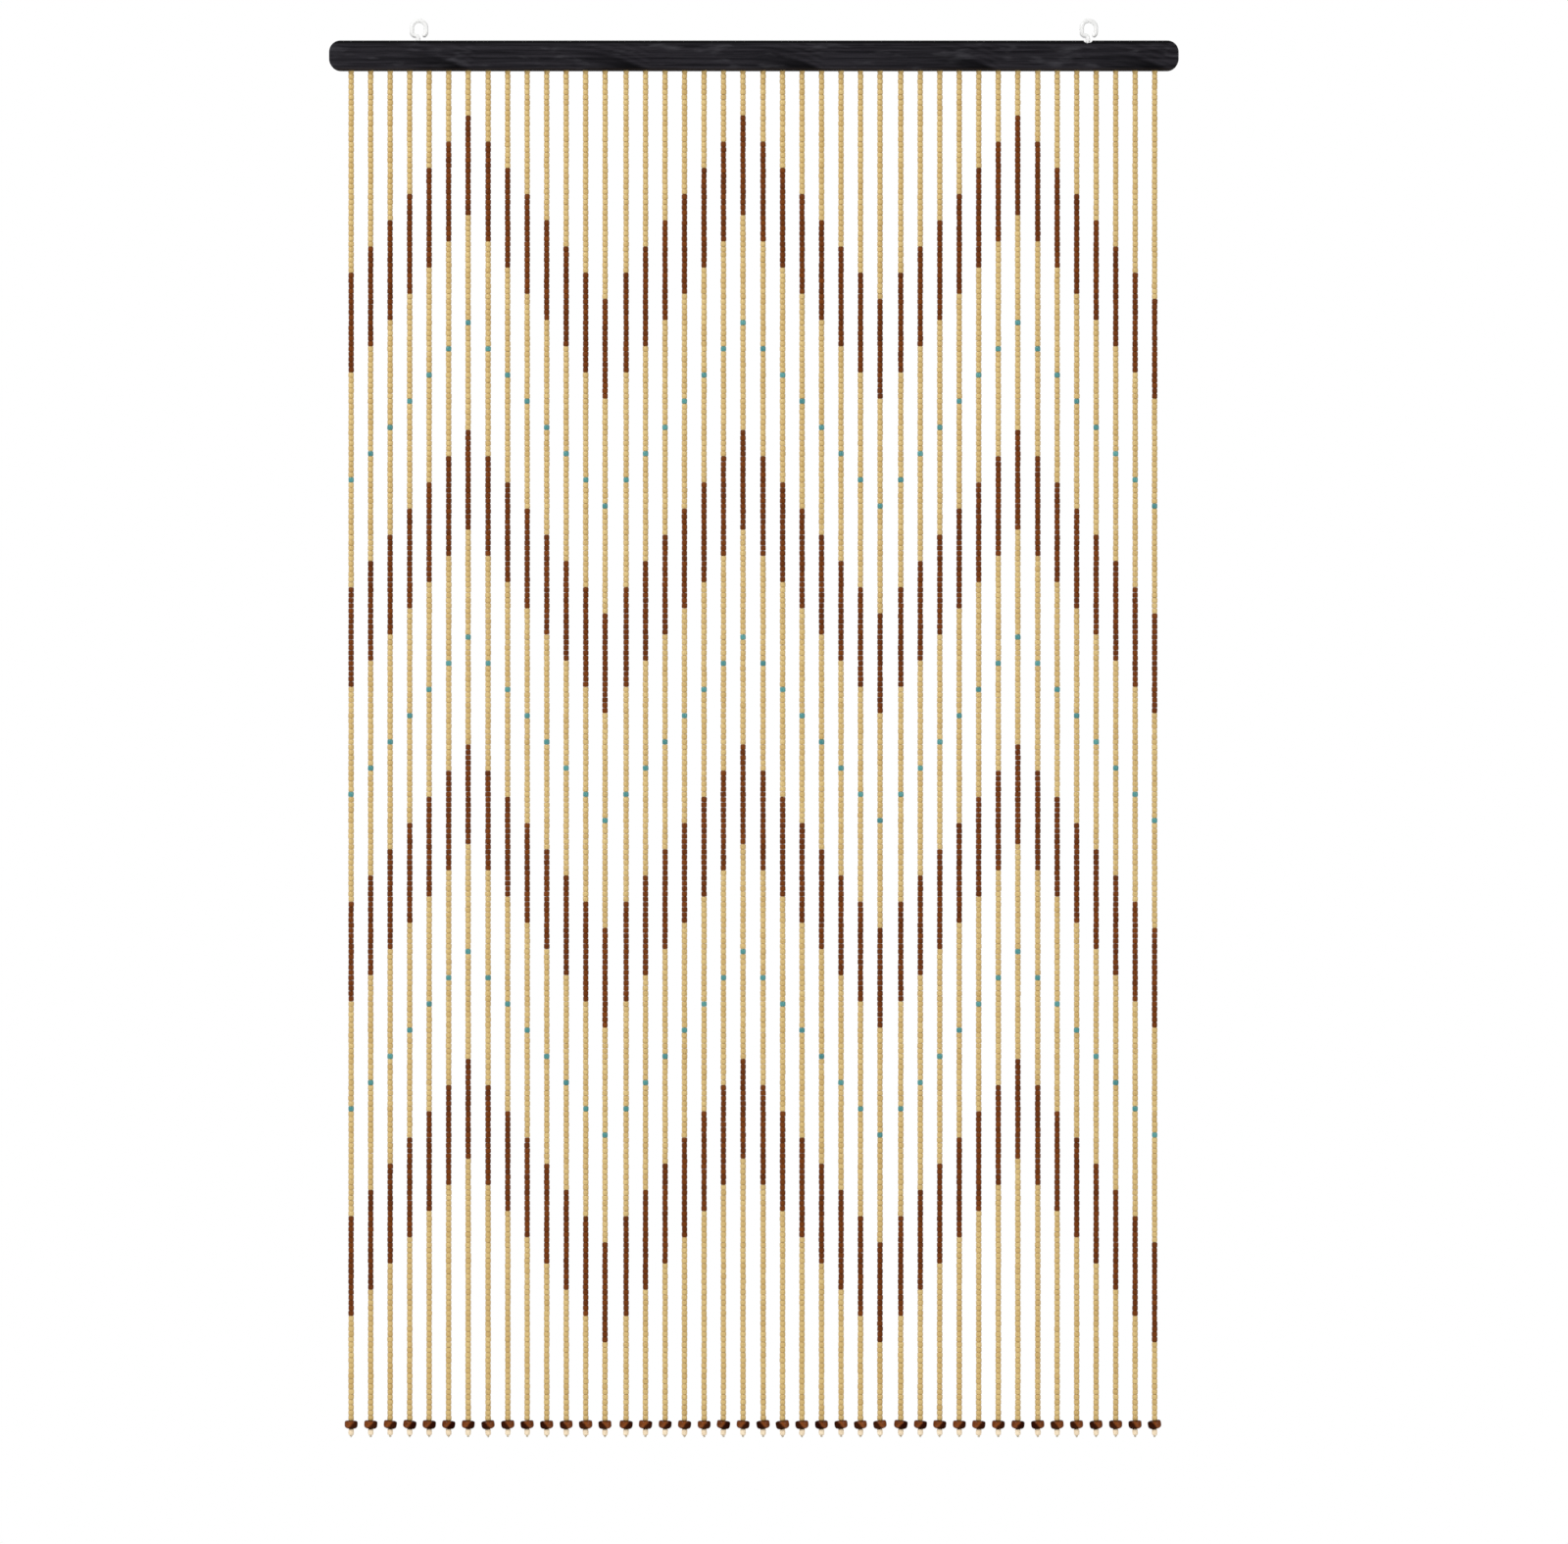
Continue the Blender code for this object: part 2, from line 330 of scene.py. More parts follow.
@dataclass(frozen=True)
class BlackStainedWood:
    """Finish of the slat: black stain over long grain, with dark flames that run down to the foot edge."""

    low: Vector
    high: Vector
    field: tuple = srgb(47, 45, 50)
    streak: tuple = srgb(18, 17, 21)
    flame_tone: tuple = srgb(2, 2, 3)
    fleck: tuple = srgb(74, 73, 78)
    pore: tuple = srgb(9, 9, 10)
    # Near-black painted shade along the top edge.
    rim: tuple = srgb(5, 5, 6)
    warm: tuple = srgb(38, 30, 25)
    flame_period: float = 0.184
    flame_start: float = -0.390
    flame_share: float = 0.52
    flame_height: float = 0.68
    drift_scale: tuple = (7.0, 40.0, 22.0)
    grain_scale: tuple = (9.0, 380.0, 380.0)
    pore_scale: tuple = (60.0, 1900.0, 1900.0)
    cloud_scale: tuple = (34.0, 90.0, 130.0)

    def build(self) -> Material:
        """Build the material on Object coordinates, with the flames laid out from the slat's own box."""
        tree = ShaderTree("black_stained_wood")
        height = (tree.axis("Z") - self.low.z) / (self.high.z - self.low.z)
        drift = tree.noise(self.drift_scale, 3.0)
        grain = tree.noise(self.grain_scale, 6.0, 0.62)
        pores = tree.noise(self.pore_scale, 3.0)
        cloud = tree.noise(self.cloud_scale, 2.0)
        turn = ((tree.axis("X") - self.flame_start) / self.flame_period + (drift - 0.5) * 0.12).fract()
        share = (turn / self.flame_share).clamped()
        crest = (1.0 - share**2.2) * self.flame_height + (grain - 0.5) * 0.16
        under = (crest - height).smooth(-0.03, 0.14)
        behind = turn.smooth(self.flame_share, self.flame_share + 0.05)
        flame = under * share.smooth(0.10, 0.95) * (1.0 - behind)
        ply = ((height - crest) * 4.6 + grain * 1.6).wave()
        colour = tree.mix((grain.smooth(0.36, 0.66) * 0.6 + ply * 0.28).clamped(), self.streak, self.field)
        colour = tree.mix(cloud.smooth(0.54, 0.78) * 0.42, colour, self.fleck)
        colour = tree.mix((flame * 0.96).clamped(), colour, self.flame_tone)
        colour = tree.mix(pores.smooth(0.56, 0.72) * 0.55, colour, self.pore)
        # Painted shade: a dark line painted along the top edge.
        colour = tree.mix(height.smooth(0.87, 0.94) * 0.92, colour, self.rim)
        colour = tree.mix((1.0 - height.smooth(0.02, 0.10)) * (0.3 + grain * 0.5), colour, self.warm)
        dull = 0.56 + (grain - 0.5) * 0.34 + (pores - 0.5) * 0.20 + height.smooth(0.90, 0.97) * 0.2
        relief = grain * 0.7 + pores * 0.35 + ply * 0.15
        return tree.finish(
            {"IOR": 1.45, "Specular IOR Level": 0.05},
            base_color=colour,
            roughness=dull.clamped(),
            normal=tree.bump(relief, 0.12 * MM, 0.6),
        )


@dataclass(frozen=True)
class WhiteEnamel:
    """Finish of the screw eyes: a dipped white coat, a little uneven, greyer where the ring has rubbed, and
    painted near-white low down by the wood as light against the shade there.
    """

    header_top: float
    # Near-white painted light for the lower ring and shank by the wood.
    painted_light_white: tuple = srgb(254, 254, 253)
    light: tuple = srgb(240, 240, 239)
    grey: tuple = srgb(230, 230, 229)
    rubbed_grey: tuple = srgb(220, 219, 216)
    light_and_wear_low: float = 3.0 * MM
    light_and_wear_high: float = 7.5 * MM

    def build(self) -> Material:
        """Build the material: the lower ring and shank by the wood are painted near-white as painted light
        against their shade, and the top of the ring is greyer, with rubbed patches there.
        """
        tree = ShaderTree("white_enamel")
        cloud = tree.noise(420.0, 3.0)
        pits = tree.noise(2400.0, 2.0)
        # Painted light: below this height band the coat is painted near-white, to lift the shade on the lower
        # ring and shank. Rubbed patches stay above it.
        painted_light_and_wear = (tree.axis("Z") - self.header_top).smooth(self.light_and_wear_low, self.light_and_wear_high)
        rubbed = (cloud.smooth(0.60, 0.72) * 0.45 * painted_light_and_wear).clamped()
        colour = tree.mix(painted_light_and_wear, self.painted_light_white, tree.mix(cloud.smooth(0.30, 0.70), self.grey, self.light))
        return tree.finish(
            {"Coat Roughness": 0.12},
            base_color=tree.mix(rubbed, colour, self.rubbed_grey),
            roughness=(0.30 + rubbed * 0.30 + (pits - 0.5) * 0.10).clamped(),
            coat_weight=(0.5 - rubbed * 0.5).clamped(),
            normal=tree.bump(pits, 0.03 * MM, 0.5),
        )


@dataclass(frozen=True)
class WaxedThread:
    """Finish of the threads and knots: twisted ecru cotton with fine diagonal ply lines."""

    dark: tuple = srgb(168, 155, 130)
    pale: tuple = srgb(222, 213, 194)
    twist_pitch: float = 1.1 * MM

    def build(self) -> Material:
        """Build the material from a slanted wave over the thread."""
        tree = ShaderTree("waxed_thread")
        slant = tree.axis("Z") + tree.axis("X") * 0.9 + tree.axis("Y") * 0.9
        fuzz = tree.noise(5200.0, 2.0)
        shade = ((slant / self.twist_pitch).wave() * 0.7 + fuzz * 0.4).clamped()
        return tree.finish(
            {"Sheen Weight": 0.3},
            base_color=tree.mix(shade, self.dark, self.pale),
            roughness=(0.62 + fuzz * 0.25).clamped(),
            normal=tree.bump(shade, 0.12 * MM, 0.7),
        )


@dataclass(frozen=True)
class PaleFloor:
    """Finish of the studio floor: a pale matt surface with a faint unevenness."""

    grey: tuple = srgb(236, 236, 235)
    pale: tuple = srgb(244, 244, 243)

    def build(self) -> Material:
        """Build the material."""
        tree = ShaderTree("pale_floor")
        cloud = tree.noise(3.0, 4.0)
        return tree.finish(
            {"Specular IOR Level": 0.2},
            base_color=tree.mix(cloud, self.grey, self.pale),
            roughness=0.75 + cloud * 0.1,
        )


def linked(name: str, data: bpy.types.ID) -> Object:
    """Return a new object with the given data, linked to the scene."""
    piece = bpy.data.objects.new(name, data)
    bpy.context.scene.collection.objects.link(piece)
    return piece


def dressed(name: str, mesh: bpy.types.Mesh, finish: Material, sharp: float) -> Object:
    """Shade a mesh smooth, give it its finish and put it in the scene.

    Args:
        name: the piece's name.
        mesh: its mesh.
        finish: its material.
        sharp: the angle in degrees past which an edge stays sharp.

    Returns:
        The new object at the origin.
    """
    mesh.shade_smooth()
    mesh.set_sharp_from_angle(angle=math.radians(sharp))
    mesh.materials.append(finish)
    return linked(name, mesh)


def finished_object(name: str, bm: BMesh, finish: Material, sharp: float) -> Object:
    """Turn a bmesh into a piece with its faces pointing out, and free the bmesh.

    Args:
        name: the piece's name.
        bm: its mesh.
        finish: its material.
        sharp: the angle in degrees past which an edge stays sharp.

    Returns:
        The new object at the origin.
    """
    bmesh.ops.recalc_face_normals(bm, faces=bm.faces)
    mesh = bpy.data.meshes.new(name)
    bm.to_mesh(mesh)
    bm.free()
    return dressed(name, mesh, finish, sharp)


def declare(piece: Object, slot: str, *nodes: str) -> None:
    """Let a piece ride on the curtain's body, hide the parts it replaces, and log it with its material slot's
    name.
    """
    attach(piece, BODY)
    if nodes:
        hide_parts(*nodes)
    LOG.info("%s: %d faces, slot %s", piece.name, len(piece.data.polygons), slot)


def spun(bm: BMesh, outline: list, steps: int) -> None:
    """Spin an outline of vertices and edges a full turn about the Z axis."""
    bmesh.ops.spin(bm, geom=outline, cent=ORIGIN, axis=UP, angle=FULL_TURN, steps=steps, use_merge=True)


def turned(profile: list[tuple[float, float]], sides: int) -> BMesh:
    """Turn a profile of radius and height about the Z axis, and close both ends.

    Args:
        profile: points of radius and height, from the top down.
        sides: the number of sides round the axis.

    Returns:
        A closed bmesh with its faces pointing out.
    """
    bm = bmesh.new()
    points = [bm.verts.new((radius, 0.0, height)) for radius, height in profile]
    edges = [bm.edges.new(pair) for pair in zip(points, points[1:])]
    spun(bm, points + edges, sides)
    bmesh.ops.remove_doubles(bm, verts=bm.verts, dist=0.001 * MM)
    bmesh.ops.holes_fill(bm, edges=bm.edges, sides=0)
    bmesh.ops.recalc_face_normals(bm, faces=bm.faces)
    return bm


def barrel(width: float, height: float, shoulder: tuple, sides: int) -> BMesh:
    """Turn a barrel bead, the same above and below.

    Args:
        width: its width over the belly.
        height: its height along the axis.
        shoulder: its upper half from the top down, as shares of half the width and half the height.
        sides: the number of sides round the axis.

    Returns:
        A closed bmesh at the origin.
    """
    upper = [(width / 2.0 * across, height / 2.0 * up) for across, up in shoulder]
    return turned(upper + [(across, -up) for across, up in reversed(upper)], sides)


@dataclass(frozen=True)
class Copies:
    """Many copies of one small shape, as arrays with one row for each copy."""

    places: np.ndarray
    tones: np.ndarray
    seeds: np.ndarray
    # Direction of each copy's painted shade side, if it has one.
    shadeward: np.ndarray | None = None

    def chosen(self, rows: np.ndarray) -> "Copies":
        """Return only the copies that a mask keeps."""
        shadeward = None if self.shadeward is None else self.shadeward[rows]
        return Copies(self.places[rows], self.tones[rows], self.seeds[rows], shadeward)

    def joined(self, name: str, shape: BMesh, finish: Material, sharp: float) -> Object:
        """Join all copies of a shape in one mesh, with the attributes and the bake map of each copy.

        Args:
            name: the piece's name.
            shape: the shape at the origin, with its axis along Z, which is freed.
            finish: the piece's material.
            sharp: the angle in degrees past which an edge stays sharp.

        Returns:
            The new object at the origin.
        """
        shape.verts.index_update()
        points = np.array([(*vert.co, 1.0) for vert in shape.verts])
        loops = np.array([vert.index for face in shape.faces for vert in face.verts])
        sizes = np.array([len(face.verts) for face in shape.faces])
        cell = self._cell_map(shape)
        shape.free()
        count = len(self.places)
        moved = np.einsum("cij,vj->cvi", self.places, points)[:, :, :3]
        mesh = bpy.data.meshes.new(name)
        mesh.vertices.add(count * len(points))
        mesh.vertices.foreach_set("co", moved.ravel())
        mesh.loops.add(count * len(loops))
        starts = np.arange(count)[:, None]
        mesh.loops.foreach_set("vertex_index", (loops[None, :] + starts * len(points)).ravel())
        mesh.polygons.add(count * len(sizes))
        ends = np.cumsum(np.tile(sizes, count))
        mesh.polygons.foreach_set("loop_start", ends - np.tile(sizes, count))
        mesh.update(calc_edges=True)
        along = np.abs(points[:, 2]) / np.abs(points[:, 2]).max()
        self._carry(mesh, TONE, np.repeat(self.tones, len(points)))
        self._carry(mesh, SEED, np.repeat(self.seeds, len(points)))
        self._carry(mesh, ALONG, np.tile(along, count))
        if self.shadeward is not None:
            offset = (moved - self.places[:, None, :3, 3]) / np.abs(points[:, 0]).max()
            self._carry(mesh, SHADEWARD, np.einsum("cvi,ci->cv", offset, self.shadeward).ravel())
        self._lay_out(mesh, cell, count)
        return dressed(name, mesh, finish, sharp)

    @staticmethod
    def _carry(mesh: bpy.types.Mesh, name: str, values: np.ndarray) -> None:
        """Store one number for each point of a mesh."""
        attribute = mesh.attributes.new(name, "FLOAT", "POINT")
        attribute.data.foreach_set("value", values.astype(np.float32))

    @staticmethod
    def _cell_map(shape: BMesh) -> np.ndarray:
        """Unwrap a turned shape in a unit cell: its side across the cell, its two ends in a strip below.

        Args:
            shape: the shape, with its axis along Z.

        Returns:
            One pair of numbers for each corner of each face.
        """
        top = max(vert.co.z for vert in shape.verts)
        reach = max(vert.co.to_2d().length for vert in shape.verts)
        rows = []
        for face in shape.faces:
            middle = face.calc_center_median()
            if max(abs(middle.x), abs(middle.y)) < reach * 0.05:
                spot_x, spot_y = CAP_SPOTS[0] if middle.z > 0.0 else CAP_SPOTS[1]
                for vert in face.verts:
                    cap_x, cap_y = vert.co.x / reach * CAP_REACH, vert.co.y / reach * CAP_REACH
                    rows.append((spot_x + cap_x, spot_y + cap_y))
                continue
            heading = math.atan2(middle.y, middle.x)
            for vert in face.verts:
                turn = math.atan2(vert.co.y, vert.co.x) - heading
                turn = heading + (turn + math.pi) % FULL_TURN - math.pi
                up = vert.co.z / top + 1.0
                rows.append((0.5 + turn / FULL_TURN * SIDE_SPAN, SIDE_LOW + up * SIDE_HALF))
        return np.array(rows)

    @staticmethod
    def _lay_out(mesh: bpy.types.Mesh, cell: np.ndarray, count: int) -> None:
        """Lay the unwrapped copies out in a square grid, a cell for each, as the mesh's bake map."""
        per_row = math.ceil(math.sqrt(count))
        index = np.arange(count)
        corner = np.stack([index % per_row, index // per_row], axis=1)
        spread = (cell[None, :, :] + corner[:, None, :]) / per_row
        layer = mesh.uv_layers.new(name=BAKE_MAP)
        layer.uv.foreach_set("vector", spread.astype(np.float32).ravel())


@dataclass(frozen=True)
class StringLayout:
    """Where the strings hang and which bead sits where, from the slat's box and the layout's own sizes."""

    header_low: Vector
    count: int = 42
    pitch: float = 20.8 * MM
    margin: float = 22.6 * MM
    bead_pitch: float = 5.5535 * MM
    beads: int = 258
    tuck: float = 2.4 * MM
    zigzag: int = 14
    peak: int = 6
    step: int = 5
    first_run: int = 9
    repeat: int = 60
    brown_run: int = 19
    brown_bands: int = 4
    turquoise_place: int = 39
    turquoise_rows: int = 3
    set_size: int = 7
    set_shifts_mm: tuple = (0.09, -0.26, 0.29, -0.05, 0.33, -0.11)
    set_draw: float = 0.14 * MM
    lean: float = 0.08 * MM
    belly: float = 0.06 * MM
    depth_sway: float = 0.9 * MM
    random_seed: int = 4217

    @property
    def root(self) -> float:
        """Return the height at which the first beads start, inside the slat's groove."""
        return self.header_low.z + self.tuck

    @property
    def foot(self) -> float:
        """Return the height at which the last string beads end."""
        return self.root - self.beads * self.bead_pitch

    def strand_x(self, strand: np.ndarray) -> np.ndarray:
        """Return where strings hang, along X: evenly, but in sets of seven, drawn together a little."""
        drilled, place = np.divmod(strand, self.set_size)
        shift = np.array(self.set_shifts_mm)[drilled] * MM - self.set_draw * (place - self.set_size // 2)
        return self.header_low.x + self.margin + self.pitch * strand + shift

    def sway(self, strand: np.ndarray, depth: np.ndarray) -> tuple[np.ndarray, np.ndarray]:
        """Return how far points of strings are off plumb.

        Args:
            strand: each point's string, from the left.
            depth: each point's place down its string, from 0 at the slat to 1 at the foot.

        Returns:
            The shifts along X and along Y.
        """
        random = np.random.default_rng(self.random_seed)
        lean_x, belly_x, lean_y, belly_y = random.normal(size=(4, self.count)).clip(-1.6, 1.6)
        eased = depth**1.5
        bow = np.sin(np.pi * depth)
        shift_x = lean_x[strand] * self.lean * eased + belly_x[strand] * self.belly * bow
        shift_y = lean_y[strand] * self.depth_sway * eased + belly_y[strand] * self.belly * bow
        return shift_x, shift_y

    def colours(self, strand: np.ndarray, bead: np.ndarray) -> np.ndarray:
        """Return the colour value of beads from the zigzag's rule.

        Args:
            strand: each bead's string.
            bead: each bead's number down its string.

        Returns:
            A value of BeadColour for each bead.
        """
        away = np.abs(strand % self.zigzag - self.peak)
        place = bead - self.first_run - self.step * away
        band = place // self.repeat
        within = place % self.repeat
        brown = (place >= 0) & (band < self.brown_bands) & (within < self.brown_run)
        turquoise = (place >= 0) & (band < self.turquoise_rows) & (within == self.turquoise_place)
        return np.select(
            [brown, turquoise],
            [BeadColour.BROWN.value, BeadColour.TURQUOISE.value],
            BeadColour.NATURAL.value,
        )


def placed(
    centres: np.ndarray, tilt: float, widths: np.ndarray, lengths: np.ndarray,
    random: np.random.Generator, askew: object = 0.0,
) -> np.ndarray:
    """Return a matrix for each copy: turned about its axis, slightly tilted, sized and moved to its centre.

    Args:
        centres: the copies' centres, one row each.
        tilt: the spread of the tilt in degrees.
        widths: how much wider than the shape each copy is.
        lengths: how much longer than the shape each copy is.
        random: the source of the turns and tilts.
        askew: the angle in radians by which each copy's right side hangs low, besides its random tilt.

    Returns:
        One four by four matrix for each copy.
    """
    count = len(centres)
    turn = random.uniform(0.0, FULL_TURN, count)
    lean_x, lean_y = np.radians(random.normal(0.0, tilt, (2, count)).clip(-2.0 * tilt, 2.0 * tilt))
    lean_y = lean_y + askew
    zero = np.zeros(count)
    one = np.ones(count)
    cosine, sine = np.cos(turn), np.sin(turn)
    spin = np.array([[cosine, -sine, zero], [sine, cosine, zero], [zero, zero, one]])
    tip = np.array([[one, zero, lean_y], [zero, one, -lean_x], [-lean_y, lean_x, one]])
    size = np.stack([widths, widths, lengths], axis=1)
    places = np.zeros((count, 4, 4))
    places[:, :3, :3] = (tip.transpose(2, 0, 1) @ spin.transpose(2, 0, 1)) * size[:, None, :]
    places[:, :3, 3] = centres
    places[:, 3, 3] = 1.0
    return places


@dataclass
class StringBeads:
    """The small barrel beads of all strings, joined by colour and by third of the curtain."""

    layout: StringLayout
    width: float = 6.0 * MM
    gap: float = 0.10 * MM
    sides: int = 10
    fine_sides: int = 16
    shoulder: tuple = ((0.78, 1.0), (1.0, 0.66))
    fine_shoulder: tuple = (
        (0.30, 0.97), (0.68, 1.0), (0.84, 0.94), (0.94, 0.77), (0.985, 0.50), (0.995, 0.16),
    )
    width_spread: float = 0.022
    width_limits: tuple = (-0.045, 0.035)
    length_spread: float = 0.012
    shortest: float = 0.03
    tilt: float = 1.3
    wander: float = 0.07 * MM
    tone_peak: float = 2.2
    string_tone: float = 0.06
    random_seed: int = 90210

    def bead(self, shoulder: tuple, sides: int) -> BMesh:
        """Turn one bead: a round belly between softened ends."""
        return barrel(self.width, self.layout.bead_pitch - self.gap, shoulder, sides)

    def finishes(self) -> dict[BeadColour, Material]:
        """Build the finish of each bead colour."""
        natural = BeadWood(
            "natural_bead_wood", pale=srgb(226, 201, 138), dark=srgb(190, 155, 88), rim=srgb(164, 120, 66),
            rim_shade_and_wear=0.35, roughness=0.42, coat=0.25,
        )
        brown = BeadWood(
            "brown_bead_wood", pale=srgb(136, 71, 19), dark=srgb(80, 34, 6), rim=srgb(62, 26, 8),
            rim_shade_and_wear=0.35, roughness=0.42, coat=0.03, gloss=0.08,
        )
        turquoise = BeadWood(
            "turquoise_bead_wood", pale=srgb(92, 166, 162), dark=srgb(44, 114, 120), rim=srgb(120, 144, 122),
            rim_shade_and_wear=0.45, roughness=0.36, coat=0.35,
        )
        return {colour: wood.build() for colour, wood in zip(BeadColour, (natural, brown, turquoise))}

    def build(self) -> None:
        layout = self.layout
        random = np.random.default_rng(self.random_seed)
        strand, bead = np.divmod(np.arange(layout.count * layout.beads), layout.beads)
        shift_x, shift_y = layout.sway(strand, (bead + 0.5) / layout.beads)
        furthest = 2.0 * self.wander
        wander_x, wander_y = random.normal(0.0, self.wander, (2, len(bead))).clip(-furthest, furthest)
        across = layout.strand_x(strand) + shift_x + wander_x
        height = layout.root - (bead + 0.5) * layout.bead_pitch
        centres = np.stack([across, shift_y + wander_y, height], axis=1)
        widths = 1.0 + random.normal(0.0, self.width_spread, len(bead)).clip(*self.width_limits)
        lengths = 1.0 - np.abs(random.normal(0.0, self.length_spread, len(bead))).clip(0.0, self.shortest)
        places = placed(centres, self.tilt, widths, lengths, random)
        tones = random.beta(self.tone_peak, self.tone_peak, len(bead))
        tones = tones + random.normal(0.0, self.string_tone, layout.count)[strand]
        copies = Copies(places, tones.clip(0.0, 1.0), random.uniform(0.0, 1.0, len(bead)))
        colours = layout.colours(strand, bead)
        thirds = strand * len(Third) // layout.count
        finishes = self.finishes()
        for colour in (BeadColour.NATURAL, BeadColour.BROWN):
            for third in Third:
                rows = (colours == colour.value) & (thirds == third.value)
                name = f"{colour.name.lower()}_beads_{third.name.lower()}"
                shape = self.bead(self.shoulder, self.sides)
                piece = copies.chosen(rows).joined(name, shape, finishes[colour], sharp=52.0)
                declare(piece, f"bead_{colour.name.lower()}", "bead_fringe")
        accents = copies.chosen(colours == BeadColour.TURQUOISE.value)
        shape = self.bead(self.fine_shoulder, self.fine_sides)
        piece = accents.joined("turquoise_beads", shape, finishes[BeadColour.TURQUOISE], sharp=60.0)
        declare(piece, "bead_turquoise", "bead_fringe")


@dataclass
class StringFeet:
    """What closes each string below its small beads: an end bead, a pale stopper and a knot with tails."""

    layout: StringLayout
    end_width: float = 14.1 * MM
    end_height: float = 8.8 * MM
    end_sides: int = 24
    end_equator: float = 0.35 * MM
    end_upper_fullness: float = 5.0
    end_lower_fullness: float = 2.9
    end_dimple: tuple = ((0.12, 0.78), (0.17, 0.92), (0.24, 0.985))
    end_rings: tuple = (76.0, 66.0, 55.0, 43.0, 30.0, 15.0, 0.0)
    end_askew: float = 5.5
    # Angle in degrees below level of the end beads' painted shade direction.
    shade_slope: float = 40.0
    stopper_width: float = 6.0 * MM
    stopper_height: float = 6.8 * MM
    stopper_sides: int = 16
    stopper_overlap: float = 0.15 * MM
    stopper_shoulder: tuple = (
        (0.34, 0.97), (0.62, 1.0), (0.80, 0.94), (0.91, 0.78), (0.975, 0.50), (1.0, 0.16),
    )
    knot_drop: float = 0.1 * MM
    knot_radius: float = 1.15 * MM
    knot_cord: float = 0.5 * MM
    knot_turns: tuple = ((24.0, 0.25 * MM), (-28.0, -0.35 * MM))
    tail_leans: tuple = (16.0, -21.0)
    tail_radii: tuple = (0.55 * MM, 0.38 * MM)
    tail_length: float = 1.5 * MM
    tail_drop: float = 1.25 * MM
    size_spread: float = 0.012
    size_limits: tuple = (-0.025, 0.02)
    tone_peak: float = 2.0
    random_seed: int = 733

    def _end_half(self, half: float, fullness: float) -> list[tuple[float, float]]:
        """Return half the end bead's outline, from the dimple round its bore to its widest ring."""
        radius = self.end_width / 2.0
        outline = [(radius * across, half * up) for across, up in self.end_dimple]
        for ring in map(math.radians, self.end_rings):
            across, up = math.cos(ring) ** (2.0 / fullness), math.sin(ring) ** (2.0 / fullness)
            outline.append((radius * across, half * up))
        return outline

    def end_bead(self) -> BMesh:
        """Turn the flattened end bead: widest above its middle, high-shouldered, tapered below."""
        half = self.end_height / 2.0
        upper = self._end_half(half - self.end_equator, self.end_upper_fullness)
        lower = self._end_half(half + self.end_equator, self.end_lower_fullness)[:-1]
        profile = [(across, self.end_equator + up) for across, up in upper]
        profile += [(across, self.end_equator - down) for across, down in reversed(lower)]
        return turned(profile, self.end_sides)

    def knot(self) -> BMesh:
        """Make the knot: two crossing turns of thread round a core, with two short tails."""
        bm = bmesh.new()
        for tilt, height in self.knot_turns:
            start = Matrix.Translation((self.knot_radius, 0.0, 0.0)) @ Matrix.Rotation(math.pi / 2.0, 4, "X")
            ring = bmesh.ops.create_circle(bm, segments=6, radius=self.knot_cord, matrix=start)["verts"]
            edges = list({edge for vert in ring for edge in vert.link_edges})
            before = set(bm.verts) - set(ring)
            spun(bm, ring + edges, 10)
            turn = [vert for vert in bm.verts if vert not in before]
            lean = Matrix.Translation((0.0, 0.0, height)) @ Matrix.Rotation(math.radians(tilt), 4, "Y")
            bmesh.ops.transform(bm, matrix=lean, verts=turn)
        bmesh.ops.create_uvsphere(bm, u_segments=8, v_segments=5, radius=self.knot_radius * 1.05)
        wide, narrow = self.tail_radii
        drop, length = Matrix.Translation((0.0, 0.0, -self.tail_drop)), self.tail_length
        for tilt in self.tail_leans:
            lean = Matrix.Rotation(math.radians(tilt), 4, "Y") @ drop
            bmesh.ops.create_cone(
                bm, cap_ends=True, segments=6, radius1=wide, radius2=narrow, depth=length, matrix=lean
            )
        bmesh.ops.recalc_face_normals(bm, faces=bm.faces)
        return bm

    def build(self, thread: Material) -> None:
        """Args:
            thread: the finish of the thread, which the knots are tied in.
        """
        layout = self.layout
        random = np.random.default_rng(self.random_seed)
        strand = np.arange(layout.count)
        shift_x, shift_y = layout.sway(strand, np.ones(layout.count))
        level = np.full(layout.count, layout.foot)
        foot = np.stack([layout.strand_x(strand) + shift_x, shift_y, level], axis=1)
        # End bead wood: dark brown, painted near-black as shade on one side, with a pale painted highlight
        # streak and darker painted shade at its ends.
        lacquer = BeadWood(
            "dark_end_bead_wood", pale=srgb(124, 64, 23), dark=srgb(75, 33, 11), rim=srgb(26, 11, 5),
            rim_shade_and_wear=0.50, roughness=0.32, coat=0.26, gloss=0.01, grain=0.9,
            painted_shade=srgb(36, 7, 2), streak=srgb(148, 82, 37),
        ).build()
        bare = BeadWood(
            "pale_stopper_wood", pale=srgb(250, 235, 207), dark=srgb(233, 209, 174), rim=srgb(188, 160, 130),
            rim_shade_and_wear=0.30, roughness=0.48, coat=0.15,
        ).build()
        stopper = barrel(self.stopper_width, self.stopper_height, self.stopper_shoulder, self.stopper_sides)
        stopper_depth = self.end_height + self.stopper_height / 2.0 - self.stopper_overlap
        knot_depth = self.end_height + self.stopper_height + self.knot_drop
        levels = (
            ("end_beads", "end_bead_brown", self.end_bead(), lacquer, self.end_height / 2.0, 2.2),
            ("stopper_beads", "stopper_pale", stopper, bare, stopper_depth, 3.0),
            ("string_knots", "thread", self.knot(), thread, knot_depth, 4.0),
        )
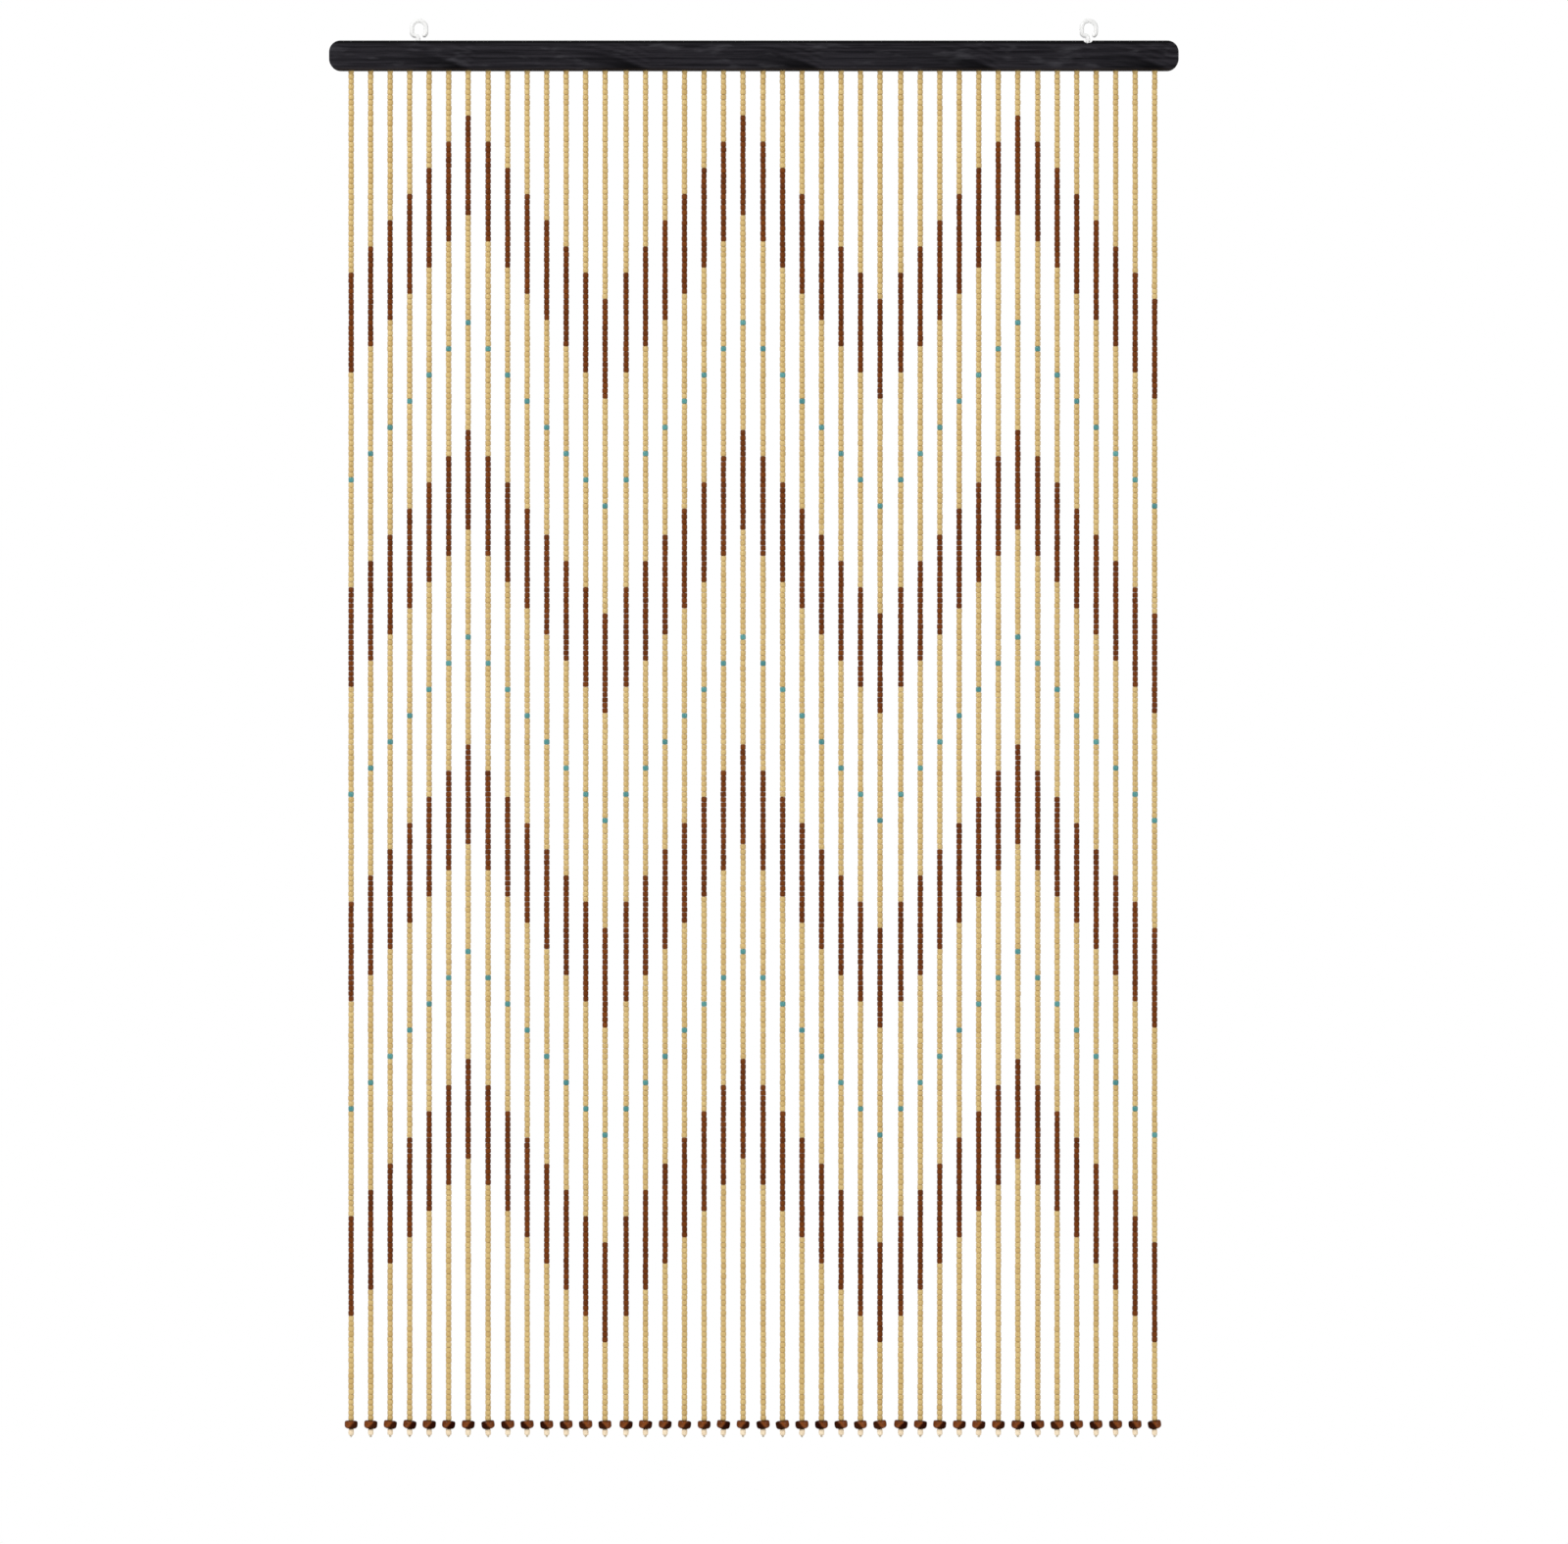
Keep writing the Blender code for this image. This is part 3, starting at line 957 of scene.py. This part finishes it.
        # Painted shade direction of each end bead: right or left by set of strings, and downwards.
        side = np.where(strand // layout.set_size % 2 == 0, 1.0, -1.0)
        slope = math.radians(self.shade_slope)
        shadeward = np.stack([side * math.cos(slope), 0.0 * side, 0.0 * side - math.sin(slope)], axis=1)
        for name, slot, shape, finish, drop, tilt in levels:
            end = name == "end_beads"
            askew = side * math.radians(self.end_askew) if end else 0.0
            size = 1.0 + random.normal(0.0, self.size_spread, layout.count).clip(*self.size_limits)
            places = placed(foot - np.array([0.0, 0.0, drop]), tilt, size, size, random, askew)
            tones = random.beta(self.tone_peak, self.tone_peak, layout.count)
            copies = Copies(places, tones, random.uniform(0.0, 1.0, layout.count), shadeward if end else None)
            declare(copies.joined(name, shape, finish, sharp=50.0), slot, "bead_fringe")


@dataclass
class Threads:
    """The threads that the beads are strung on, from the slat's groove down to the knots."""

    layout: StringLayout
    radius: float = 0.45 * MM
    sides: int = 6
    stretches: int = 12
    above_root: float = 1.5 * MM
    below_foot: float = 15.5 * MM

    def build(self, finish: Material) -> None:
        layout = self.layout
        bm = bmesh.new()
        top = layout.root + self.above_root
        length = top - layout.foot + self.below_foot
        stretch = (0.0, 0.0, -length / self.stretches)
        for strand in range(layout.count):
            place = Matrix.Translation((float(layout.strand_x(np.array(strand))), 0.0, top))
            ring = bmesh.ops.create_circle(
                bm, segments=self.sides, radius=self.radius, cap_ends=True, matrix=place
            )["verts"]
            face = ring[0].link_faces[0]
            for _ in range(self.stretches):
                face = bmesh.ops.extrude_discrete_faces(bm, faces=[face])["faces"][0]
                bmesh.ops.translate(bm, verts=face.verts, vec=stretch)
        bmesh.ops.holes_fill(bm, edges=bm.edges, sides=0)
        points = list(bm.verts)
        heights = np.array([vert.co.z for vert in points])
        across = np.array([vert.co.x for vert in points]) - float(layout.strand_x(0))
        strand = np.round(across / layout.pitch).astype(int)
        depth = ((layout.root - heights) / (layout.root - layout.foot)).clip(0.0, 1.0)
        shift_x, shift_y = layout.sway(strand, depth)
        for vert, move_x, move_y in zip(points, shift_x, shift_y):
            vert.co.x += move_x
            vert.co.y += move_y
        declare(finished_object("threads", bm, finish, sharp=60.0), "thread", "bead_fringe")


@dataclass
class Header:
    """The slat: rounded corners, softened rims, the groove below with its closing strip, and a dip left by
    wear.
    """

    low: Vector
    high: Vector
    strip_left: float
    strip_right: float
    strip_low: float
    corner: float = 12.0 * MM
    corner_steps: int = 14
    rim: float = 1.5 * MM
    rim_steps: int = 5
    groove_width: float = 6.2 * MM
    groove_depth: float = 8.0 * MM
    strip_play: float = 0.3 * MM
    strip_edge: float = 0.4 * MM
    dip_width: float = 9.6 * MM
    dip_depth: float = 2.8 * MM
    dip_cuts: int = 20

    def build(self, dip_x: float) -> None:
        """Args:
            dip_x: where the worn dip is in the top edge.
        """
        finish = BlackStainedWood(self.low, self.high).build()
        piece = finished_object("header_slat", self.slat(dip_x), finish, sharp=38.0)
        declare(piece, "header_wood", "header")
        strip = finished_object("groove_strip", self.strip(), finish, sharp=38.0)
        declare(strip, "header_wood", "bead_fringe")

    @staticmethod
    def _block(low: Vector, high: Vector) -> BMesh:
        """Return a block between two corners."""
        bm = bmesh.new()
        place = Matrix.Translation((low + high) / 2.0) @ Matrix.Diagonal((*(high - low), 1.0))
        bmesh.ops.create_cube(bm, size=1.0, matrix=place)
        return bm

    @staticmethod
    def _depthways(edge: bmesh.types.BMEdge) -> float:
        """Return how straight an edge runs from front to back, from 0 to 1."""
        return abs((edge.verts[1].co - edge.verts[0].co).normalized().y)

    @staticmethod
    def _round(bm: BMesh, edges: list, radius: float, steps: int) -> None:
        """Round edges with a circular bevel."""
        bmesh.ops.bevel(
            bm, geom=edges, offset=radius, segments=steps, profile=0.5, affect="EDGES", clamp_overlap=True,
            material=-1,
        )

    def slat(self, dip_x: float) -> BMesh:
        """Shape the slat from a block by bevels, an inset groove and the dip."""
        bm = self._block(self.low, self.high)
        corners = [edge for edge in bm.edges if self._depthways(edge) > 0.99]
        self._round(bm, corners, self.corner, self.corner_steps)
        rims = [edge for edge in bm.edges if self._depthways(edge) < 0.5]
        self._round(bm, rims, self.rim, self.rim_steps)
        self._cut_groove(bm)
        self._wear_dip(bm, dip_x)
        return bm

    def _cut_groove(self, bm: BMesh) -> None:
        """Sink the groove for the string ends in the underside."""
        bm.faces.ensure_lookup_table()
        bm.normal_update()
        under = max((face for face in bm.faces if face.normal.z < -0.99), key=lambda face: face.calc_area())
        margin = (self.high.y - self.low.y) / 2.0 - self.rim - self.groove_width / 2.0
        bmesh.ops.inset_region(bm, faces=[under], thickness=margin, use_even_offset=True)
        middle = (self.strip_left + self.strip_right) / 2.0
        span = (self.strip_right - self.strip_left) / 2.0 + self.strip_play
        for vert in under.verts:
            vert.co.x = middle + math.copysign(span, vert.co.x)
        floor = bmesh.ops.extrude_discrete_faces(bm, faces=[under])["faces"]
        bmesh.ops.translate(bm, verts=floor[0].verts, vec=(0.0, 0.0, self.groove_depth))

    def _wear_dip(self, bm: BMesh, dip_x: float) -> None:
        """Sink a round dip in the top edge, where the wood gave way round the eye."""
        half = self.dip_width / 2.0
        radius = (half**2 + self.dip_depth**2) / (2.0 * self.dip_depth)
        centre = self.high.z - self.dip_depth + radius
        for step in range(self.dip_cuts + 1):
            cut_x = dip_x + half * (2.0 * step / self.dip_cuts - 1.0)
            geometry = bm.verts[:] + bm.edges[:] + bm.faces[:]
            bmesh.ops.bisect_plane(bm, geom=geometry, plane_co=(cut_x, 0.0, 0.0), plane_no=(1.0, 0.0, 0.0))
        level = self.high.z - self.rim - 0.1 * MM
        for vert in bm.verts:
            away = vert.co.x - dip_x
            if vert.co.z > level and abs(away) < half:
                vert.co.z += centre - math.sqrt(radius**2 - away**2) - self.high.z

    def strip(self) -> BMesh:
        """Shape the strip that closes the groove above the beads."""
        side = self.groove_width / 2.0 - self.strip_play
        top = self.low.z + self.groove_depth - self.strip_play
        low, high = (self.strip_left, -side, self.strip_low), (self.strip_right, side, top)
        bm = self._block(Vector(low), Vector(high))
        self._round(bm, list(bm.edges), self.strip_edge, 2)
        return bm


@dataclass
class ScrewEye:
    """One screw eye, bent from round wire: shank, neck and a ring with a round top, with rounded ends."""

    node: str
    low: Vector
    high: Vector
    wire: float = 4.8 * MM
    neck_radius: float = 3.0 * MM
    ring_drop: float = 8.4 * MM
    shank_shift: float = -1.0 * MM
    screw_start: float = 2.0 * MM
    screw_taper: float = 3.0 * MM
    screw_share: float = 0.64
    tip_angle: float = 60.0
    tip_rounding: tuple = ((0.45, 0.90), (0.35, 0.78), (0.18, 0.55))
    sides: int = 20
    neck_steps: int = 8
    ring_steps: int = 28
    tip_steps: int = 6

    @property
    def centre(self) -> Vector:
        """Return the middle of the ring's round top, from the box of the eye's solid."""
        return Vector(((self.low.x + self.high.x) / 2.0, 0.0, self.high.z - self.outer))

    @property
    def outer(self) -> float:
        """Return half the ring's outer width."""
        return (self.high.x - self.low.x) / 2.0

    def build(self, finish: Material) -> None:
        bm = bmesh.new()
        centre = self.centre
        radius = self.wire / 2.0
        corner_x = self.neck_radius - self.shank_shift
        side = Vector((0.0, 0.0, self.ring_drop - (self.outer - radius - corner_x)))
        neck_level = centre.z - self.ring_drop - self.neck_radius
        start = self.low.z + self.screw_start
        shank = neck_level - start - self.screw_taper
        place = Matrix.Translation((centre.x + self.shank_shift, 0.0, start))
        ring = bmesh.ops.create_circle(
            bm, segments=self.sides, radius=radius * self.screw_share, cap_ends=True, matrix=place
        )["verts"]
        face = self._draw(bm, ring[0].link_faces[0], Vector(UP) * self.screw_taper, 1.0 / self.screw_share)
        face = self._run(bm, face, Vector(UP) * shank)
        neck = Vector((centre.x - corner_x, 0.0, neck_level))
        face = self._bend(bm, face, neck, -90.0, self.neck_steps)
        corner = Vector((centre.x - corner_x, 0.0, centre.z - side.z))
        face = self._bend(bm, face, corner, 90.0, self.neck_steps)
        face = self._run(bm, face, side)
        face = self._bend(bm, face, centre, 180.0, self.ring_steps)
        face = self._run(bm, face, -side)
        corner = Vector((centre.x + corner_x, 0.0, centre.z - side.z))
        face = self._bend(bm, face, corner, self.tip_angle, self.tip_steps)
        for reach, shrink in self.tip_rounding:
            face.normal_update()
            face = self._draw(bm, face, face.normal * (radius * reach), shrink)
        bmesh.ops.holes_fill(bm, edges=bm.edges, sides=0)
        piece = finished_object(self.node + "_wire", bm, finish, sharp=50.0)
        declare(piece, "eye_white", self.node)

    @staticmethod
    def _draw(bm: BMesh, face: Face, move: Vector, grow: float) -> Face:
        """Extrude the wire's end by a move and change its width, and return the new end."""
        end = bmesh.ops.extrude_discrete_faces(bm, faces=[face])["faces"][0]
        bmesh.ops.translate(bm, verts=end.verts, vec=move)
        middle = end.calc_center_median()
        bmesh.ops.scale(bm, verts=end.verts, vec=(grow, grow, grow), space=Matrix.Translation(-middle))
        return end

    def _run(self, bm: BMesh, face: Face, reach: Vector) -> Face:
        """Extrude the wire's end straight on in three stretches, and return the new end."""
        for _ in range(3):
            face = self._draw(bm, face, reach / 3.0, 1.0)
        return face

    @staticmethod
    def _bend(bm: BMesh, face: Face, centre: Vector, angle: float, steps: int) -> Face:
        """Bend the wire's end by an angle in degrees about an axis along Y, and return the new end."""
        for _ in range(steps):
            face = bmesh.ops.extrude_discrete_faces(bm, faces=[face])["faces"][0]
            turn = Matrix.Rotation(math.radians(angle) / steps, 3, "Y")
            bmesh.ops.rotate(bm, verts=face.verts, cent=centre, matrix=turn)
        return face


@dataclass
class Studio:
    """Camera, soft light, pale surroundings and a pale floor at the foot of a doorway."""

    header_centre_x: float
    header_top: float
    metres_per_pixel: float = 1.0389 * MM
    frame_width_px: float = 1600.0
    frame_height_px: float = 1575.0
    header_centre_px: float = 769.25
    header_top_px: float = 41.9
    distance: float = 8.0
    sensor: float = 36.0
    floor_drop: float = 2.05
    floor_radius: float = 3.0
    surround_front: float = 0.34
    surround_rest: float = 0.86
    backdrop: float = 1.0
    aim: tuple = (0.0, 0.0, -0.75)
    softboxes: tuple = (
        ("key_softbox", (-2.9, -3.6, 1.9), 2.2, 170.0),
        ("fill_softbox", (3.6, -3.2, 0.2), 2.6, 66.0),
        ("back_softbox", (0.0, 4.2, 1.6), 2.6, 18.0),
    )

    def build(self) -> None:
        """Build the whole studio."""
        self.camera()
        self.floor()
        self.world()
        for name, place, size, watts in self.softboxes:
            self.softbox(name, Vector(place), size, watts)

    def camera(self) -> None:
        """Place the camera square on, where the photo's frame puts the slat."""
        data = bpy.data.cameras.new("front_camera")
        camera = linked("front_camera", data)
        right = (self.frame_width_px / 2.0 - self.header_centre_px) * self.metres_per_pixel
        down = (self.frame_height_px / 2.0 - self.header_top_px) * self.metres_per_pixel
        camera.location = (self.header_centre_x + right, -self.distance, self.header_top - down)
        camera.rotation_euler = (math.pi / 2.0, 0.0, 0.0)
        data.sensor_width = self.sensor
        data.lens = self.sensor * self.distance / (self.frame_width_px * self.metres_per_pixel)
        data.clip_end = 100.0
        bpy.context.scene.camera = camera

    def floor(self) -> None:
        """Lay the round studio floor."""
        bm = bmesh.new()
        place = Matrix.Translation((0.0, 0.0, -self.floor_drop))
        bmesh.ops.create_circle(bm, segments=96, radius=self.floor_radius, cap_ends=True, matrix=place)
        mesh = bpy.data.meshes.new("studio_floor")
        bm.to_mesh(mesh)
        bm.free()
        mesh.materials.append(PaleFloor().build())
        floor = linked("studio_floor", mesh)

    def world(self) -> None:
        """Surround the curtain with soft white light, and show a near-white ground behind it."""
        world = bpy.data.worlds.new("studio_surround")
        bpy.context.scene.world = world
        world.use_nodes = True
        world.node_tree.nodes.clear()
        tree = NodeTree(world.node_tree)
        heading = tree.add("ShaderNodeTexCoord").outputs["Generated"]
        depth = tree.add("ShaderNodeSeparateXYZ", {0: heading}).outputs["Y"]
        sockets = {"Value": depth, "From Min": -0.95, "From Max": 0.0}
        sockets.update({"To Min": self.surround_front, "To Max": self.surround_rest})
        fade = tree.add("ShaderNodeMapRange", sockets, interpolation_type="SMOOTHSTEP")
        light = tree.add("ShaderNodeBackground", {"Strength": fade.outputs["Result"]})
        white = (self.backdrop, self.backdrop, self.backdrop, 1.0)
        shown = tree.add("ShaderNodeBackground", {"Color": white, "Strength": 1.0})
        seen = tree.add("ShaderNodeLightPath").outputs["Is Camera Ray"]
        mix = tree.add("ShaderNodeMixShader", {0: seen, 1: light.outputs[0], 2: shown.outputs[0]})
        tree.add("ShaderNodeOutputWorld", {"Surface": mix.outputs[0]})
        bpy.context.scene.view_settings.view_transform = "Standard"

    def softbox(self, name: str, place: Vector, size: float, watts: float) -> None:
        """Add a square area light that faces the curtain."""
        data = bpy.data.lights.new(name, "AREA")
        data.shape = "SQUARE"
        data.size = size
        data.energy = watts
        lamp = linked(name, data)
        lamp.location = place
        lamp.rotation_euler = (Vector(self.aim) - place).to_track_quat("-Z", "Y").to_euler()


def main() -> None:
    """Build the studio and the curtain's pieces in order, and report each."""
    logging.basicConfig(level=logging.INFO, format="%(name)s %(message)s")
    header_low, header_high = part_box("header")
    fringe_low, fringe_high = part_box("bead_fringe")
    Studio((header_low.x + header_high.x) / 2.0, header_high.z).build()
    layout = StringLayout(header_low)
    StringBeads(layout).build()
    thread = WaxedThread().build()
    StringFeet(layout).build(thread)
    Threads(layout).build(thread)
    enamel = WhiteEnamel(header_high.z).build()
    eyes = [ScrewEye(node, *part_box(node)) for node in ("screw_eye_left", "screw_eye_right")]
    for eye in eyes:
        eye.build(enamel)
    header = Header(header_low, header_high, fringe_low.x, fringe_high.x, layout.root)
    header.build(dip_x=eyes[1].centre.x + eyes[1].shank_shift)


if __name__ == "__main__":
    main()
